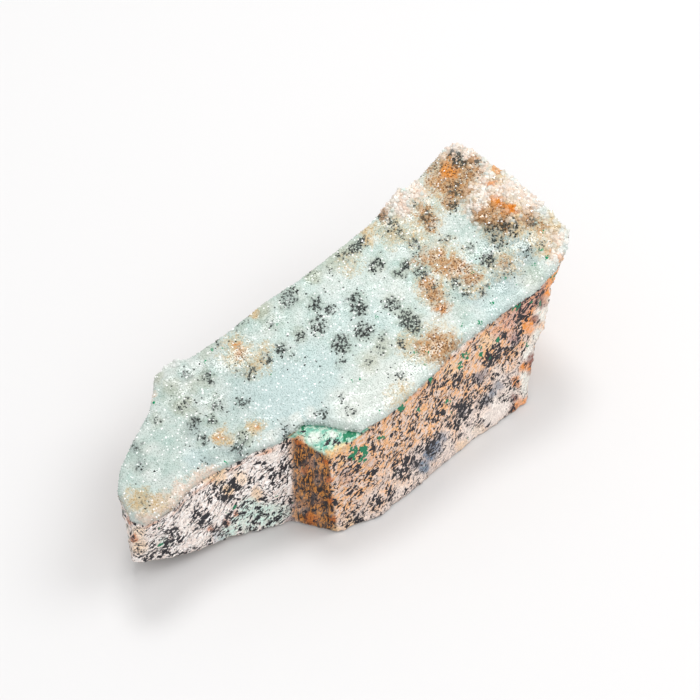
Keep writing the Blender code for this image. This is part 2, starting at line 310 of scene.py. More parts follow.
# Host rock: every zone has two colours that mix in crisp blotches, then black flecks and malachite on top
rockLook = {
    "cell": 0.40 * mm,
    "seamX": (-47.0, -25.0, -10.0, 10.0, 25.0, 36.0, 47.0),
    "seamZ": (16.6, 17.9, 19.6, 21.9, 24.1, 25.9, 27.2),
    "stepX": (-18.6, -13.0), "ledgeX": (-17.5, -6.5), "ledgeY": -9.2, "leftX": -16.2, "endX": 33.5,
    # steepness and shift of the border of each zone
    "seenBorder": (6.0, 0.4), "stepBorder": (3.0, -1.4), "ledgeBorder": (4.0, -1.6),
    "endBorder": (4.0, -1.2), "underBorder": (4.0, -2.0),
    "back": (paint(216, 202, 190), paint(196, 158, 126)),
    "under": (paint(206, 192, 182), paint(182, 160, 142)),
    "left": (paint(253, 246, 242), paint(236, 221, 213)),
    "step": (paint(206, 136, 62), paint(34, 24, 20)),
    "right": (paint(236, 180, 130), paint(226, 201, 186)),
    "lowRight": (paint(242, 224, 212), paint(214, 198, 190)),
    "ledge": (paint(112, 178, 156), paint(190, 216, 198)),
    "end": (paint(240, 176, 112), paint(228, 218, 204)),
    "endCream": paint(234, 226, 214), "endRed": paint(150, 88, 56),
    "endHue": ((1.0, 5.0 * mm, 51), (0.6, 1.6 * mm, 52)),
    "line": paint(214, 132, 60), "seamShade": paint(52, 62, 50),
    "fleck": paint(36, 34, 40), "malachite": paint(28, 122, 86),
    # the tilt in degrees and the stretch of the blotches, and of the strands on the step
    "leaning": (-42.0, (1.6, 1.0, 1.0)), "upright": (8.0, (0.9, 0.9, 3.4)),
    # scale, detail and twist of each pattern, and the two values that its crisp edge lies between
    "blotches": (1600.0, 5.0, 0.6, 0.46, 0.55), "strands": (2200.0, 5.0, 1.0, 0.42, 0.54),
    "flecks": (1900.0, 4.0, 0.8, 0.69, 0.715), "fineFlecks": (3600.0, 2.0, 0.5, 0.705, 0.735),
    "greenBlots": (1300.0, 3.0, 0.4, 0.80, 0.84),
    "fleckShare": 0.34, "fineFleckShare": 0.20, "greenShare": 0.5,
    # how many flecks there are, and the strength, patch size and seed of what varies it
    "speck": 0.42, "speckSpread": (0.35, 2.6 * mm, 25), "stepSpeck": 0.36, "ledgeSpeck": 0.22,
    "endSpeck": 0.25, "endSpread": (0.5, 4.0 * mm, 53),
    "grainScale": 2900.0, "grainSpread": 1.1, "grainLeast": 0.42,
    "roughness": 0.72, "bump": 0.6, "bumpDepth": 0.16 * mm,
    # in millimetres below the crust: the rusty line and its half width, and the dark rim
    "lineBelow": 0.75, "lineReach": 0.45, "rimReach": 0.35,
    "lowRightLine": ((370, 500), (510, 365)), "lowRightBlur": 26.0,
    "paints": {
        "peach": (paint(244, 206, 160), (
            (215, 473, 11, 0.9), (228, 490, 6, 1.0), (257, 494, 6, 0.8), (140, 547, 8, 0.7),
            (205, 474, 9, 0.7), (240, 478, 7, 0.6), (138, 533, 7, 0.6), (452, 370, 9, 0.6),
            (488, 342, 8, 0.7), (465, 448, 8, 0.6), (350, 525, 7, 0.6), (336, 531, 5, 0.8),
            (480, 432, 7, 0.5),
        )),
        "mint": (paint(212, 236, 226), (
            (250, 508, 10, 1.0), (262, 514, 10, 1.0), (275, 514, 9, 1.0), (240, 520, 8, 1.0),
            (230, 531, 7, 0.9), (250, 528, 8, 0.8), (268, 523, 7, 0.8), (285, 510, 6, 0.7),
            (165, 542, 5, 0.6), (222, 538, 5, 0.7),
        )),
        # mauve grey on the step and right face; the three spots at the notch's inner corner are painted
        # shade
        "mauveGreyAndNotchShade": (paint(170, 150, 150), (
            (290, 520, 4, 0.9), (291, 505, 4, 0.8), (289, 530, 4, 0.8), (311, 463, 6, 0.4),
            (303, 506, 6, 0.25), (316, 500, 6, 0.25), (345, 478, 8, 0.5), (370, 462, 7, 0.4),
            (318, 478, 5, 0.3),
        )),
        "rust": (paint(206, 112, 40), (
            (134, 538, 4, 1.0), (130, 520, 4, 0.8), (236, 513, 3, 0.9), (226, 523, 3, 0.9),
            (211, 530, 3, 0.9), (300, 441, 5, 1.0), (326, 462, 3, 1.0), (329, 480, 3, 1.0),
            (331, 500, 3, 1.0), (333, 518, 3, 1.0), (311, 520, 6, 0.7), (304, 470, 4, 0.7),
        )),
        "slate": (paint(88, 116, 142), (
            (430, 455, 7, 1.0), (436, 446, 6, 1.0), (424, 466, 6, 0.9), (442, 438, 4, 0.8),
            (479, 378, 6, 0.7), (485, 372, 4, 0.6), (499, 386, 5, 0.7), (515, 339, 6, 0.8),
            (487, 401, 6, 0.7), (493, 394, 4, 0.8), (415, 464, 5, 0.5), (462, 408, 5, 0.4),
            (218, 537, 5, 0.4),
        )),
        "mauve": (paint(214, 158, 138), (
            (530, 297, 11, 1.0), (520, 308, 11, 1.0), (538, 290, 8, 1.0), (508, 320, 9, 0.8),
            (497, 332, 7, 0.5), (512, 335, 8, 0.6), (545, 281, 6, 0.7),
        )),
        "cream": (paint(246, 236, 228), (
            (462, 345, 5, 1.0), (470, 336, 5, 1.0), (455, 352, 4, 1.0), (479, 328, 5, 0.9),
            (500, 405, 10, 0.9), (490, 418, 8, 0.8), (510, 392, 7, 0.7), (475, 434, 8, 0.6),
            (500, 372, 7, 0.6), (190, 505, 7, 0.7), (185, 527, 7, 0.6), (200, 546, 7, 0.7),
            (270, 455, 8, 0.7), (150, 556, 8, 0.7),
        )),
        "orange": (paint(240, 146, 48), (
            (553, 276, 7, 1.0), (550, 298, 9, 1.0), (554, 287, 7, 1.0), (536, 314, 7, 0.9),
            (530, 330, 6, 0.9), (528, 322, 6, 0.9), (546, 331, 6, 0.9), (526, 369, 6, 1.0),
            (518, 382, 6, 1.0), (523, 406, 7, 1.0), (517, 413, 6, 1.0), (531, 403, 6, 0.9),
            (524, 347, 4, 0.8), (551, 267, 6, 0.8), (556, 305, 6, 0.8),
        )),
        "white": (paint(236, 236, 228), (
            (543, 314, 9, 1.0), (540, 337, 9, 1.0), (548, 308, 6, 0.8), (530, 352, 9, 0.9),
            (526, 378, 7, 1.0), (527, 387, 7, 1.0), (545, 303, 6, 0.6), (315, 437, 6, 0.8),
            (311, 441, 4, 0.8), (333, 435, 4, 0.9),
        )),
        "darkRed": (paint(124, 58, 42), (
            (534, 360, 7, 1.0), (538, 366, 6, 0.9), (535, 319, 4, 1.0), (514, 397, 4, 0.9),
            (541, 302, 6, 0.8), (532, 372, 4, 0.7), (513, 408, 4, 0.7),
        )),
        "ochre": (paint(232, 186, 128), (
            (345, 447, 5, 1.0), (338, 450, 5, 1.0), (329, 455, 4, 0.9), (334, 453, 4, 1.0),
            (341, 460, 4, 0.7),
        )),
        "darkGreen": (paint(28, 78, 60), (
            (115, 487, 3, 1.0), (120, 501, 3, 1.0), (123, 512, 3, 1.0), (126, 529, 2.5, 1.0),
            (127, 539, 2.5, 1.0), (129, 549, 2, 0.8),
        )),
    },
    "fleckSpots": (
        (233, 486, 6, 1.0), (226, 498, 7, 1.0), (217, 486, 5, 0.9), (284, 463, 5, 0.9),
        (273, 476, 4, 0.9), (200, 518, 10, 0.85), (172, 537, 9, 0.9), (166, 548, 5, 0.9),
        (158, 528, 6, 0.7), (251, 480, 4, 0.9), (258, 514, 6, 0.8), (254, 527, 6, 0.9),
        (238, 527, 4, 0.8), (214, 530, 5, 0.9), (224, 534, 5, 0.8), (180, 554, 5, 0.8),
        (139, 553, 5, 0.7), (284, 443, 5, 0.9), (290, 466, 4, 0.9), (266, 450, 4, 0.8),
        (430, 447, 8, 0.9), (403, 471, 9, 0.9), (411, 461, 6, 0.9), (376, 503, 8, 0.9),
        (358, 521, 6, 1.0), (461, 410, 9, 1.0), (455, 422, 7, 0.9), (468, 401, 6, 0.9),
        (436, 437, 5, 0.9), (413, 426, 6, 0.8), (440, 410, 6, 0.8), (457, 380, 6, 0.9),
        (433, 386, 6, 0.9), (523, 306, 6, 1.0), (520, 318, 6, 1.0), (518, 328, 5, 0.9),
        (503, 335, 4, 1.0), (508, 352, 5, 1.0), (494, 354, 6, 1.0), (488, 362, 5, 1.0),
        (499, 348, 4, 1.0), (490, 377, 4, 1.0), (486, 402, 7, 0.9), (515, 340, 6, 0.8),
        (538, 292, 5, 0.9), (512, 410, 4, 0.9), (398, 440, 8, 0.7), (372, 478, 7, 0.7),
        (390, 490, 7, 0.7), (395, 455, 7, 0.7), (350, 465, 8, 0.7), (360, 485, 8, 0.6),
        (480, 395, 6, 0.7), (445, 397, 6, 0.7), (330, 440, 3, 0.9), (337, 442, 3, 0.9),
        (302, 434, 3, 0.8),
    ),
    "cleanSpots": (
        (462, 448, 8, 1.0), (475, 436, 8, 0.9), (496, 412, 9, 0.9), (270, 540, 8, 0.8),
        (245, 549, 7, 0.8), (462, 343, 6, 0.9), (300, 520, 6, 0.6), (340, 531, 5, 0.8),
        (448, 455, 6, 0.8), (312, 432, 5, 0.9), (322, 428, 6, 0.9), (345, 450, 5, 0.8),
        (275, 452, 6, 0.6), (553, 276, 7, 0.9), (550, 298, 7, 0.9), (543, 314, 7, 1.0),
        (541, 336, 7, 0.9), (532, 354, 7, 0.9), (527, 380, 7, 0.9), (524, 404, 7, 0.8),
    ),
    "greenSpots": (
        (350, 433, 5, 1.0), (356, 432, 4, 1.0), (345, 438, 4, 0.9), (354, 450, 5, 1.0),
        (364, 450, 5, 1.0), (353, 457, 4, 1.0), (363, 458, 4, 1.0), (358, 461, 3, 0.9),
        (381, 437, 4, 1.0), (401, 408, 4, 1.0), (419, 411, 3, 1.0), (405, 402, 3, 0.9),
        (480, 323, 4, 1.0), (466, 356, 5, 0.9), (460, 362, 3, 0.9), (480, 346, 3, 1.0),
        (480, 355, 3, 1.0), (460, 369, 3, 1.0), (498, 340, 4, 1.0), (516, 306, 4, 1.0),
        (530, 304, 3, 1.0), (540, 303, 3, 1.0), (525, 343, 3, 1.0), (515, 392, 2.5, 1.0),
        (449, 401, 3, 1.0), (551, 277, 3, 1.0), (556, 275, 3, 0.9), (546, 258, 3, 1.0),
        (430, 380, 3, 1.0), (233, 506, 3, 1.0), (226, 513, 3, 1.0), (277, 496, 3, 0.9),
        (286, 493, 2.5, 0.9), (161, 544, 3, 0.9), (304, 428, 3, 0.9),
    ),
}


def rockMaterial():
    look = rockLook
    material, tree, shader = newMaterial("speckled_rock")
    place = node(tree, "TexCoord").outputs["Object"]
    first = node(tree, "Attribute", attribute_name="first").outputs["Color"]
    second = node(tree, "Attribute", attribute_name="second").outputs["Color"]
    speck = node(tree, "Attribute", attribute_name="speck").outputs["Fac"]
    green = node(tree, "Attribute", attribute_name="green").outputs["Fac"]
    fibre = node(tree, "Attribute", attribute_name="fibre").outputs["Fac"]
    leaning = stretched(tree, place, *look["leaning"])
    upright = stretched(tree, place, *look["upright"])
    strandShare = node(tree, "Mix")
    blotches = blots(tree, leaning, look["blotches"])
    strands = blots(tree, upright, look["strands"])
    link(tree, strandShare.inputs[:1] + strandShare.inputs[2:4], (fibre, blotches, strands))
    colour = mixColour(tree, strandShare.outputs[0], first, second)
    grain = speckles(tree, place, look["grainScale"], 2.0, 0.0)
    lightness = node(tree, "HueSaturation")
    tree.links.new(colour, lightness.inputs["Color"])
    value = maths(tree, "ADD", maths(tree, "MULTIPLY", grain, look["grainSpread"]), look["grainLeast"])
    tree.links.new(value, lightness.inputs["Value"])
    flecks = blots(tree, leaning, look["flecks"], maths(tree, "MULTIPLY", speck, look["fleckShare"]))
    fine = blots(tree, leaning, look["fineFlecks"], maths(tree, "MULTIPLY", speck, look["fineFleckShare"]))
    black = maths(tree, "MAXIMUM", flecks, fine)
    malachite = blots(tree, place, look["greenBlots"], maths(tree, "MULTIPLY", green, look["greenShare"]))
    colour = mixColour(tree, black, lightness.outputs[0], (*look["fleck"], 1.0))
    colour = mixColour(tree, malachite, colour, (*look["malachite"], 1.0))
    tree.links.new(colour, shader.inputs["Base Color"])
    shader.inputs["Roughness"].default_value = look["roughness"]
    bump = node(tree, "Bump")
    bump.inputs["Strength"].default_value = look["bump"]
    bump.inputs["Distance"].default_value = look["bumpDepth"]
    tree.links.new(grain, bump.inputs["Height"])
    tree.links.new(bump.outputs[0], shader.inputs["Normal"])
    return material


def rockZones(points, normals):
    # how far each place belongs to each face of the block, with soft borders between them
    look = rockLook
    x, y = points[:, 0] / mm, points[:, 1] / mm
    toEye = np.array(viewEye) - points
    toEye /= np.linalg.norm(toEye, axis=1)[:, None]
    seen = soft((normals * toEye).sum(axis=1), *look["seenBorder"]) * (normals[:, 2] > -0.6)
    onStep = (x > look["stepX"][0]) * (x < look["stepX"][1]) * seen
    onStep = onStep * soft(-normals[:, 0], *look["stepBorder"])
    upper = soft(normals[:, 2], *look["ledgeBorder"])
    onLedge = upper * (x > look["ledgeX"][0]) * (x < look["ledgeX"][1]) * (y < look["ledgeY"])
    toLeft = soft((look["leftX"] - x) / 1.2) * seen
    atEnd = soft((x - look["endX"]) / 2.5) * soft(normals[:, 0], *look["endBorder"])
    under = soft(-normals[:, 2], *look["underBorder"])
    return {"seen": seen, "step": onStep, "ledge": onLedge, "left": toLeft, "end": atEnd, "under": under}


# Relief in millimetres: strength, size of the patches and seed of each cloud
rockRelief = {
    "broken": ((0.16, 1.5 * mm, 1), (0.09, 0.6 * mm, 2)),
    "drawOut": np.array([2.6, 2.6, 0.7]), "fibres": (0.30, 1.6 * mm, 7), "knots": (0.25, 1.2 * mm, 8),
    "ridges": (1.0, 2.0 * mm, 9), "ridgeMiddle": 0.25, "chips": (0.5, 0.8 * mm, 10),
    "cragDepth": 0.8, "hiddenShare": 0.6,
}


def roughen(points, normals, zones):
    # finer relief than the solid's: fibrous on the step, craggy at the thick end and behind
    relief = rockRelief
    hidden = 1.0 - zones["seen"]
    push = clouds(points, *relief["broken"])
    fibrous = clouds(points * relief["drawOut"], relief["fibres"]) + clouds(points, relief["knots"])
    push += zones["step"] * fibrous
    ridges = np.abs(clouds(points, relief["ridges"])) - relief["ridgeMiddle"]
    crags = ridges + clouds(points, relief["chips"])
    push -= soft(zones["end"] + relief["hiddenShare"] * hidden) * relief["cragDepth"] * crags
    push *= 1.0 - zones["under"]
    return points + normals * push[:, None] * mm


def rockColours(points, normals, zones):
    look = rockLook
    pixels = photoPixels(points)
    seen = zones["seen"]
    (lineX, lineY), (endX, endY) = look["lowRightLine"]
    run = np.array([endX - lineX, endY - lineY]) / math.hypot(endX - lineX, endY - lineY)
    beyond = (pixels[:, 1] - lineY) * run[0] - (pixels[:, 0] - lineX) * run[1]
    low = soft(0.5 + beyond / look["lowRightBlur"] + 0.9 * cloud(points, 3.0 * mm, 21))
    ragged = wander(points, pixels, 1.1 * mm, 3.0, 22)
    edge = np.interp(points[:, 0] / mm, look["seamX"], look["seamZ"]) - points[:, 2] / mm
    hue = clouds(points, *look["endHue"])
    pair = []
    for k in (0, 1):
        colours = np.tile(look["back"][k], (len(points), 1))
        colours = blend(colours, look["right"][k], seen)
        colours = blend(colours, look["lowRight"][k], seen * low)
        colours = blend(colours, look["end"][k], zones["end"])
        colours = blend(colours, look["endCream"], zones["end"] * (1.6 * hue - 0.1))
        colours = blend(colours, look["endRed"], zones["end"] * (-1.8 * hue - 0.35))
        colours = blend(colours, look["left"][k], zones["left"])
        colours = blend(colours, look["step"][k], zones["step"] * (0.95 + 0.4 * cloud(points, 2.0 * mm, 29)))
        colours = blend(colours, look["under"][k], zones["under"])
        colours = blend(colours, look["ledge"][k], zones["ledge"])
        for colour, spots in look["paints"].values():
            colours = blend(colours, colour, softSpots(ragged, spots) * seen * (0.95 - 0.35 * k))
        onLine = soft(1.3 - np.abs(edge - look["lineBelow"]) / look["lineReach"]) * (normals[:, 2] < 0.6)
        colours = blend(colours, look["line"], onLine * (0.25 + 0.9 * cloud(points, 2.4 * mm, 23)))
        rim = soft(1.2 - edge / look["rimReach"]) * (normals[:, 2] < 0.75)
        colours = blend(colours, look["seamShade"], rim * (0.55 + 0.8 * cloud(points, 1.2 * mm, 24)))
        pair.append(colours)
    speck = look["speck"] + clouds(points, look["speckSpread"])
    speck = np.where(zones["step"] > 0.5, look["stepSpeck"], speck)
    speck = np.where(zones["ledge"] > 0.5, look["ledgeSpeck"], speck)
    speck = np.where(zones["end"] > 0.5, look["endSpeck"] + clouds(points, look["endSpread"]), speck)
    spotted = softSpots(ragged, look["fleckSpots"], 1.25) * seen
    speck = np.maximum(speck, spotted * (0.74 + 0.3 * cloud(points, 0.9 * mm, 27)))
    speck *= 1.0 - softSpots(ragged, look["cleanSpots"]) * seen
    green = 0.10 + 0.30 * cloud(points, 3.4 * mm, 26) + 0.10 * (1.0 - seen)
    spotted = softSpots(wander(points, pixels, 0.7 * mm, 4.0, 28), look["greenSpots"], 0.9) * seen
    green = np.maximum(green, spotted * 0.85)
    return pair, speck, green


def buildRock():
    bm = evenCopy("host_rock", rockLook["cell"])
    piece = finishPiece("rock_block", bm, rockMaterial())
    mesh = piece.data
    points, normals = meshPoints(mesh), meshNormals(mesh)
    zones = rockZones(points, normals)
    mesh.vertices.foreach_set("co", roughen(points, normals, zones).ravel())
    mesh.update()
    mesh.shade_smooth()
    (first, second), speck, green = rockColours(points, normals, zones)
    keepColours(mesh, "first", first)
    keepColours(mesh, "second", second)
    keepValues(mesh, "speck", speck)
    keepValues(mesh, "green", green)
    keepValues(mesh, "fibre", zones["step"])
    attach(piece, "root")
    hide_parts("host_rock")
    return piece


# Crust: pale chrysocolla under sugary quartz, with smoky spots and rusty patches named in photo pixels
crustLook = {
    "cell": 0.42 * mm, "inset": 0.20, "insetWaver": 0.10, "gapFill": 0.32,
    "shadeX": (130, 230, 300), "shade": (0.65, 0.67, 0.735), "mottle": np.array([0.22, 0.12, 0.14]),
    # white is painted on grains as glints of reflected light, and mixed into the clear coarse points
    "mint": paint(222, 236, 229), "halo": paint(176, 184, 162), "white": paint(255, 255, 254),
    "dark": paint(20, 24, 22), "darkBrown": paint(92, 62, 38), "green": paint(20, 140, 96),
    "mottling": ((1.0, 3.0 * mm, 33), (0.5, 1.0 * mm, 35)), "haloReach": 1.35, "haloShare": 0.5,
    "washes": ("blue", "pale", "olive", "blueGrey"), "washShare": 0.8,
    "patchReach": 0.95, "patchFray": (0.9, 0.9 * mm, 34), "patchMost": 0.92, "patchUneven": 0.45,
    "sugarQuartz": {"Roughness": 0.2, "IOR": 1.54, "Specular IOR Level": 0.3},
    "clearQuartz": {"Roughness": 0.12, "IOR": 1.54, "Transmission Weight": 0.15},
    "paints": {
        "blue": (paint(212, 232, 231), (
            (290, 395, 40, 1.0), (262, 388, 28, 0.9), (196, 457, 12, 0.9), (316, 372, 30, 0.8),
            (500, 305, 22, 0.6), (340, 320, 30, 0.5), (245, 400, 20, 0.6), (488, 300, 16, 0.6),
            (375, 320, 20, 0.5), (470, 270, 10, 0.5), (426, 335, 7, 0.6), (205, 440, 12, 0.4),
        )),
        "pale": (paint(242, 245, 238), (
            (378, 385, 30, 0.8), (350, 405, 18, 0.8), (441, 323, 14, 0.9), (400, 372, 18, 0.8),
            (335, 285, 14, 0.4), (171, 362, 9, 0.9), (164, 368, 7, 0.7), (288, 428, 8, 0.7),
            (270, 438, 5, 0.9), (280, 432, 5, 0.9), (296, 420, 5, 0.9), (312, 414, 6, 0.8),
            (395, 295, 12, 0.4), (435, 232, 10, 0.5), (560, 232, 12, 0.9), (562, 250, 8, 0.8),
            (510, 172, 12, 0.7), (526, 184, 12, 0.7), (545, 205, 10, 0.7),
        )),
        "olive": (paint(196, 198, 172), (
            (391, 230, 13, 0.6), (343, 254, 11, 0.6), (262, 310, 9, 0.8), (250, 370, 9, 0.5),
            (312, 274, 9, 0.6), (172, 390, 9, 0.5), (183, 405, 9, 0.5), (243, 437, 8, 0.6),
            (141, 498, 8, 0.7), (205, 352, 8, 0.4), (430, 244, 10, 0.4), (383, 345, 9, 0.5),
            (368, 362, 9, 0.5), (545, 228, 8, 0.5), (330, 262, 8, 0.5), (155, 378, 7, 0.6),
            (195, 383, 9, 0.4), (530, 275, 12, 0.4), (505, 262, 12, 0.4),
        )),
        "blueGrey": (paint(170, 190, 190), (
            (238, 449, 9, 0.8), (285, 432, 7, 0.8), (226, 450, 9, 0.6), (193, 428, 9, 0.5),
            (210, 462, 7, 0.6), (500, 233, 15, 0.8), (515, 240, 11, 0.6), (495, 248, 9, 0.6),
            (525, 256, 10, 0.8), (187, 375, 5, 0.6), (140, 465, 7, 0.5), (135, 447, 7, 0.5),
            (289, 300, 8, 0.4), (505, 275, 14, 0.8), (470, 292, 10, 0.6),
        )),
        "pink": (paint(255, 232, 214), (
            (165, 508, 12, 1.0), (182, 494, 11, 1.0), (200, 481, 9, 1.0), (148, 520, 9, 1.0),
            (210, 474, 7, 0.9), (396, 201, 15, 1.0), (385, 209, 8, 0.9), (410, 189, 9, 1.0),
            (420, 195, 8, 0.7), (488, 193, 18, 1.0), (478, 203, 12, 1.0), (505, 194, 18, 1.0),
            (524, 205, 15, 1.0), (512, 212, 14, 0.8), (457, 147, 13, 1.0), (443, 152, 8, 0.9),
            (473, 152, 10, 0.8), (515, 183, 12, 0.6), (535, 195, 9, 0.8), (554, 240, 9, 0.8),
            (553, 255, 8, 0.8), (150, 397, 5, 0.8), (360, 208, 7, 0.6), (485, 166, 8, 0.6),
        )),
        "tan": (paint(228, 202, 158), (
            (236, 348, 9, 0.9), (255, 361, 13, 0.5), (266, 348, 6, 0.6), (255, 427, 8, 0.8),
            (222, 438, 8, 0.8), (138, 500, 12, 0.7), (158, 503, 10, 0.6), (370, 234, 9, 0.7),
            (415, 234, 10, 0.5), (250, 311, 6, 0.9), (400, 396, 12, 0.4), (413, 346, 12, 0.5),
            (552, 222, 10, 0.6), (545, 248, 10, 0.5), (505, 263, 13, 0.4), (440, 258, 9, 0.8),
            (500, 180, 6, 0.5), (520, 222, 16, 0.6), (350, 265, 10, 0.3), (498, 168, 6, 0.9),
            (445, 262, 17, 0.5), (432, 290, 14, 0.5), (437, 345, 19, 0.5), (425, 218, 15, 0.5),
            (450, 183, 22, 0.6), (500, 218, 20, 0.5), (540, 232, 15, 0.5), (395, 232, 12, 0.4),
            (473, 280, 12, 0.5), (236, 352, 14, 0.4),
        )),
        "brown": (paint(206, 156, 104), (
            (437, 261, 9, 0.8), (449, 266, 9, 0.9), (461, 270, 8, 0.9), (473, 277, 7, 0.8),
            (426, 258, 7, 0.5), (429, 286, 8, 0.8), (434, 297, 8, 0.8), (442, 308, 7, 0.9),
            (437, 346, 13, 0.9), (450, 345, 9, 0.7), (425, 347, 9, 0.6), (441, 353, 9, 0.8),
            (447, 174, 14, 0.9), (457, 185, 12, 0.9), (440, 182, 10, 0.8), (430, 165, 8, 0.6),
            (470, 168, 10, 0.7), (450, 200, 8, 0.7), (483, 217, 9, 0.9), (500, 218, 10, 0.8),
            (495, 212, 7, 0.8), (425, 214, 8, 0.8), (430, 222, 7, 0.8), (530, 220, 9, 0.6),
            (541, 228, 7, 0.5), (418, 262, 6, 0.4), (383, 215, 6, 0.5), (241, 354, 5, 0.6),
            (505, 262, 6, 0.4),
        )),
        "orange": (paint(240, 152, 52), (
            (497, 202, 5, 1.0), (503, 205, 5, 1.0), (509, 209, 5, 1.0), (514, 211, 4, 0.9),
            (448, 171, 8, 0.8), (237, 346, 4, 0.5), (498, 168, 4, 0.6), (221, 438, 3, 0.3),
            (442, 309, 4, 0.6), (255, 429, 3, 0.2), (492, 185, 4, 0.6), (560, 258, 3, 0.6),
            (548, 250, 3, 0.4), (116, 497, 2, 1.0),
        )),
    },
    "smokySpots": (
        (341, 344, 9, 1.0), (363, 331, 9, 0.9), (356, 300, 7, 0.95), (358, 308, 8, 0.95),
        (392, 305, 8, 1.0), (407, 318, 8, 1.0), (415, 325, 8, 0.9), (319, 325, 8, 0.9),
        (300, 337, 6, 0.9), (281, 350, 7, 0.8), (292, 356, 6, 0.5), (265, 359, 6, 0.7),
        (252, 370, 5, 0.7), (316, 304, 7, 0.8), (331, 310, 6, 0.8), (290, 296, 9, 0.65),
        (284, 304, 5, 0.7), (313, 274, 6, 0.5), (330, 268, 6, 0.5), (344, 257, 7, 0.6),
        (355, 248, 6, 0.95), (362, 241, 6, 0.8), (376, 265, 7, 0.9), (401, 273, 6, 0.95),
        (406, 266, 5, 0.8), (422, 272, 7, 0.9), (414, 243, 6, 0.8), (417, 254, 6, 0.5),
        (444, 240, 5, 0.6), (449, 238, 4, 0.5), (471, 248, 5, 0.6), (487, 261, 7, 1.0),
        (435, 286, 5, 0.7), (456, 283, 6, 0.7), (467, 292, 6, 0.6), (484, 291, 6, 0.6),
        (427, 293, 5, 0.5), (401, 344, 5, 0.9), (380, 350, 6, 0.6), (383, 338, 5, 0.5),
        (369, 362, 6, 0.5), (341, 363, 5, 0.7), (401, 376, 7, 0.6), (350, 412, 6, 0.6),
        (322, 413, 6, 0.7), (343, 400, 5, 0.5), (187, 375, 4, 0.8), (208, 377, 6, 0.7),
        (248, 378, 6, 0.5), (243, 403, 7, 0.7), (217, 405, 7, 0.6), (183, 405, 8, 0.6),
        (157, 421, 5, 0.6), (195, 421, 6, 0.8), (211, 421, 5, 0.7), (193, 429, 8, 0.4),
        (203, 441, 6, 0.8), (238, 448, 7, 0.7), (243, 437, 6, 0.6), (285, 432, 7, 0.6),
        (136, 447, 7, 0.5), (140, 465, 7, 0.5), (235, 326, 5, 0.6), (245, 322, 4, 0.6),
        (271, 325, 6, 0.5), (218, 341, 4, 0.6), (458, 160, 6, 0.9), (464, 165, 5, 0.8),
        (452, 158, 5, 0.8), (480, 165, 6, 0.6), (437, 168, 5, 0.6), (455, 190, 9, 0.7),
        (453, 207, 5, 0.8), (428, 216, 8, 0.7), (430, 226, 6, 0.6), (392, 229, 9, 0.6),
        (400, 234, 6, 0.5), (503, 227, 7, 1.0), (512, 229, 7, 0.9), (492, 230, 7, 0.8),
        (497, 243, 8, 0.6), (531, 221, 6, 0.7), (540, 246, 9, 0.5), (528, 252, 7, 0.6),
        (509, 268, 7, 0.5), (500, 276, 7, 0.4), (460, 312, 5, 0.3), (448, 300, 8, 0.4),
        (430, 350, 9, 0.4), (238, 369, 8, 0.4), (172, 390, 8, 0.3), (168, 497, 6, 0.3),
        (145, 502, 6, 0.4), (205, 460, 6, 0.4), (420, 175, 6, 0.4), (437, 158, 5, 0.4),
        (384, 218, 7, 0.5), (416, 205, 4, 0.6),
    ),
    "greenSpecks": (
        (205, 362, 1.6, 1), (154, 403, 1.6, 1), (272, 374, 1.5, 1), (254, 306, 1.6, 1),
        (495, 179, 2.2, 1), (547, 258, 2.4, 1), (541, 250, 1.8, 1), (472, 273, 1.8, 1),
        (490, 287, 1.6, 1), (226, 462, 2.2, 1), (212, 350, 1.5, 1), (223, 349, 1.5, 1),
        (480, 323, 2.2, 1), (377, 317, 1.6, 1), (427, 352, 1.8, 1), (492, 304, 2.0, 1),
        (534, 265, 2.2, 0.8), (505, 278, 1.6, 1), (543, 232, 1.6, 1), (516, 285, 1.4, 1),
        (361, 379, 1.6, 1), (352, 381, 1.4, 0.8), (128, 448, 2.4, 1), (127, 454, 2.0, 1),
        (118, 475, 2.2, 1), (415, 352, 1.6, 1), (425, 363, 1.4, 1), (462, 325, 1.8, 1),
        (380, 411, 1.8, 1), (278, 325, 1.4, 0.8),
    ),
    "darkEdge": ((290, 434), (297, 427), (306, 421), (322, 423), (345, 429), (360, 430), (372, 424)),
}


def spotsOf(name):
    return crustLook["paints"][name][1]


def crustColours(points, pick):
    # colour of the crust at each place: chrysocolla seen through the sugar, then patches
    look = crustLook
    pixels = photoPixels(points)
    ragged = wander(points, pixels, 1.3 * mm, 6.0, 31)
    colours = np.tile(look["mint"], (len(points), 1))
    colours *= 1.0 + clouds(points, *look["mottling"])[:, None] * look["mottle"]
    halo = softSpots(ragged, look["smokySpots"], look["haloReach"]) * look["haloShare"]
    colours = blend(colours, look["halo"], halo)
    fray = 1.05 + clouds(points, look["patchFray"])
    for name, (colour, spots) in look["paints"].items():
        if name in look["washes"]:
            share = softSpots(ragged, spots, 1.0, 1.0) * look["washShare"]
        else:
            share = softSpots(ragged, spots, look["patchReach"], 1.0) * fray
            uneven = pick.uniform(-look["patchUneven"], look["patchUneven"], len(points)) * (share > 0.02)
            share = np.minimum(share, look["patchMost"]) + uneven
        colours = blend(colours, colour, share)
    browned = softSpots(ragged, spotsOf("brown"), 1.0, 1.4)
    shade = np.interp(pixels[:, 0], look["shadeX"], look["shade"])[:, None]
    return colours * shade, pixels, browned


def smokeAt(points, pixels):
    # how dark the grains are: close together inside a smoky spot, in scattered clusters round it
    near = wander(points, pixels, 0.9 * mm, 4.0, 36)
    core = softSpots(near, crustLook["smokySpots"], 0.80, 1.6)
    outer = softSpots(near, crustLook["smokySpots"], 1.50, 1.3)
    field = 1.0 + 0.7 * cloud(points, 0.55 * mm, 37) + 1.8 * cloud(points, 0.22 * mm, 39)
    return ((0.42 * core + 0.34 * outer) * field > 0.45) * soft(0.15 + 0.95 * outer)


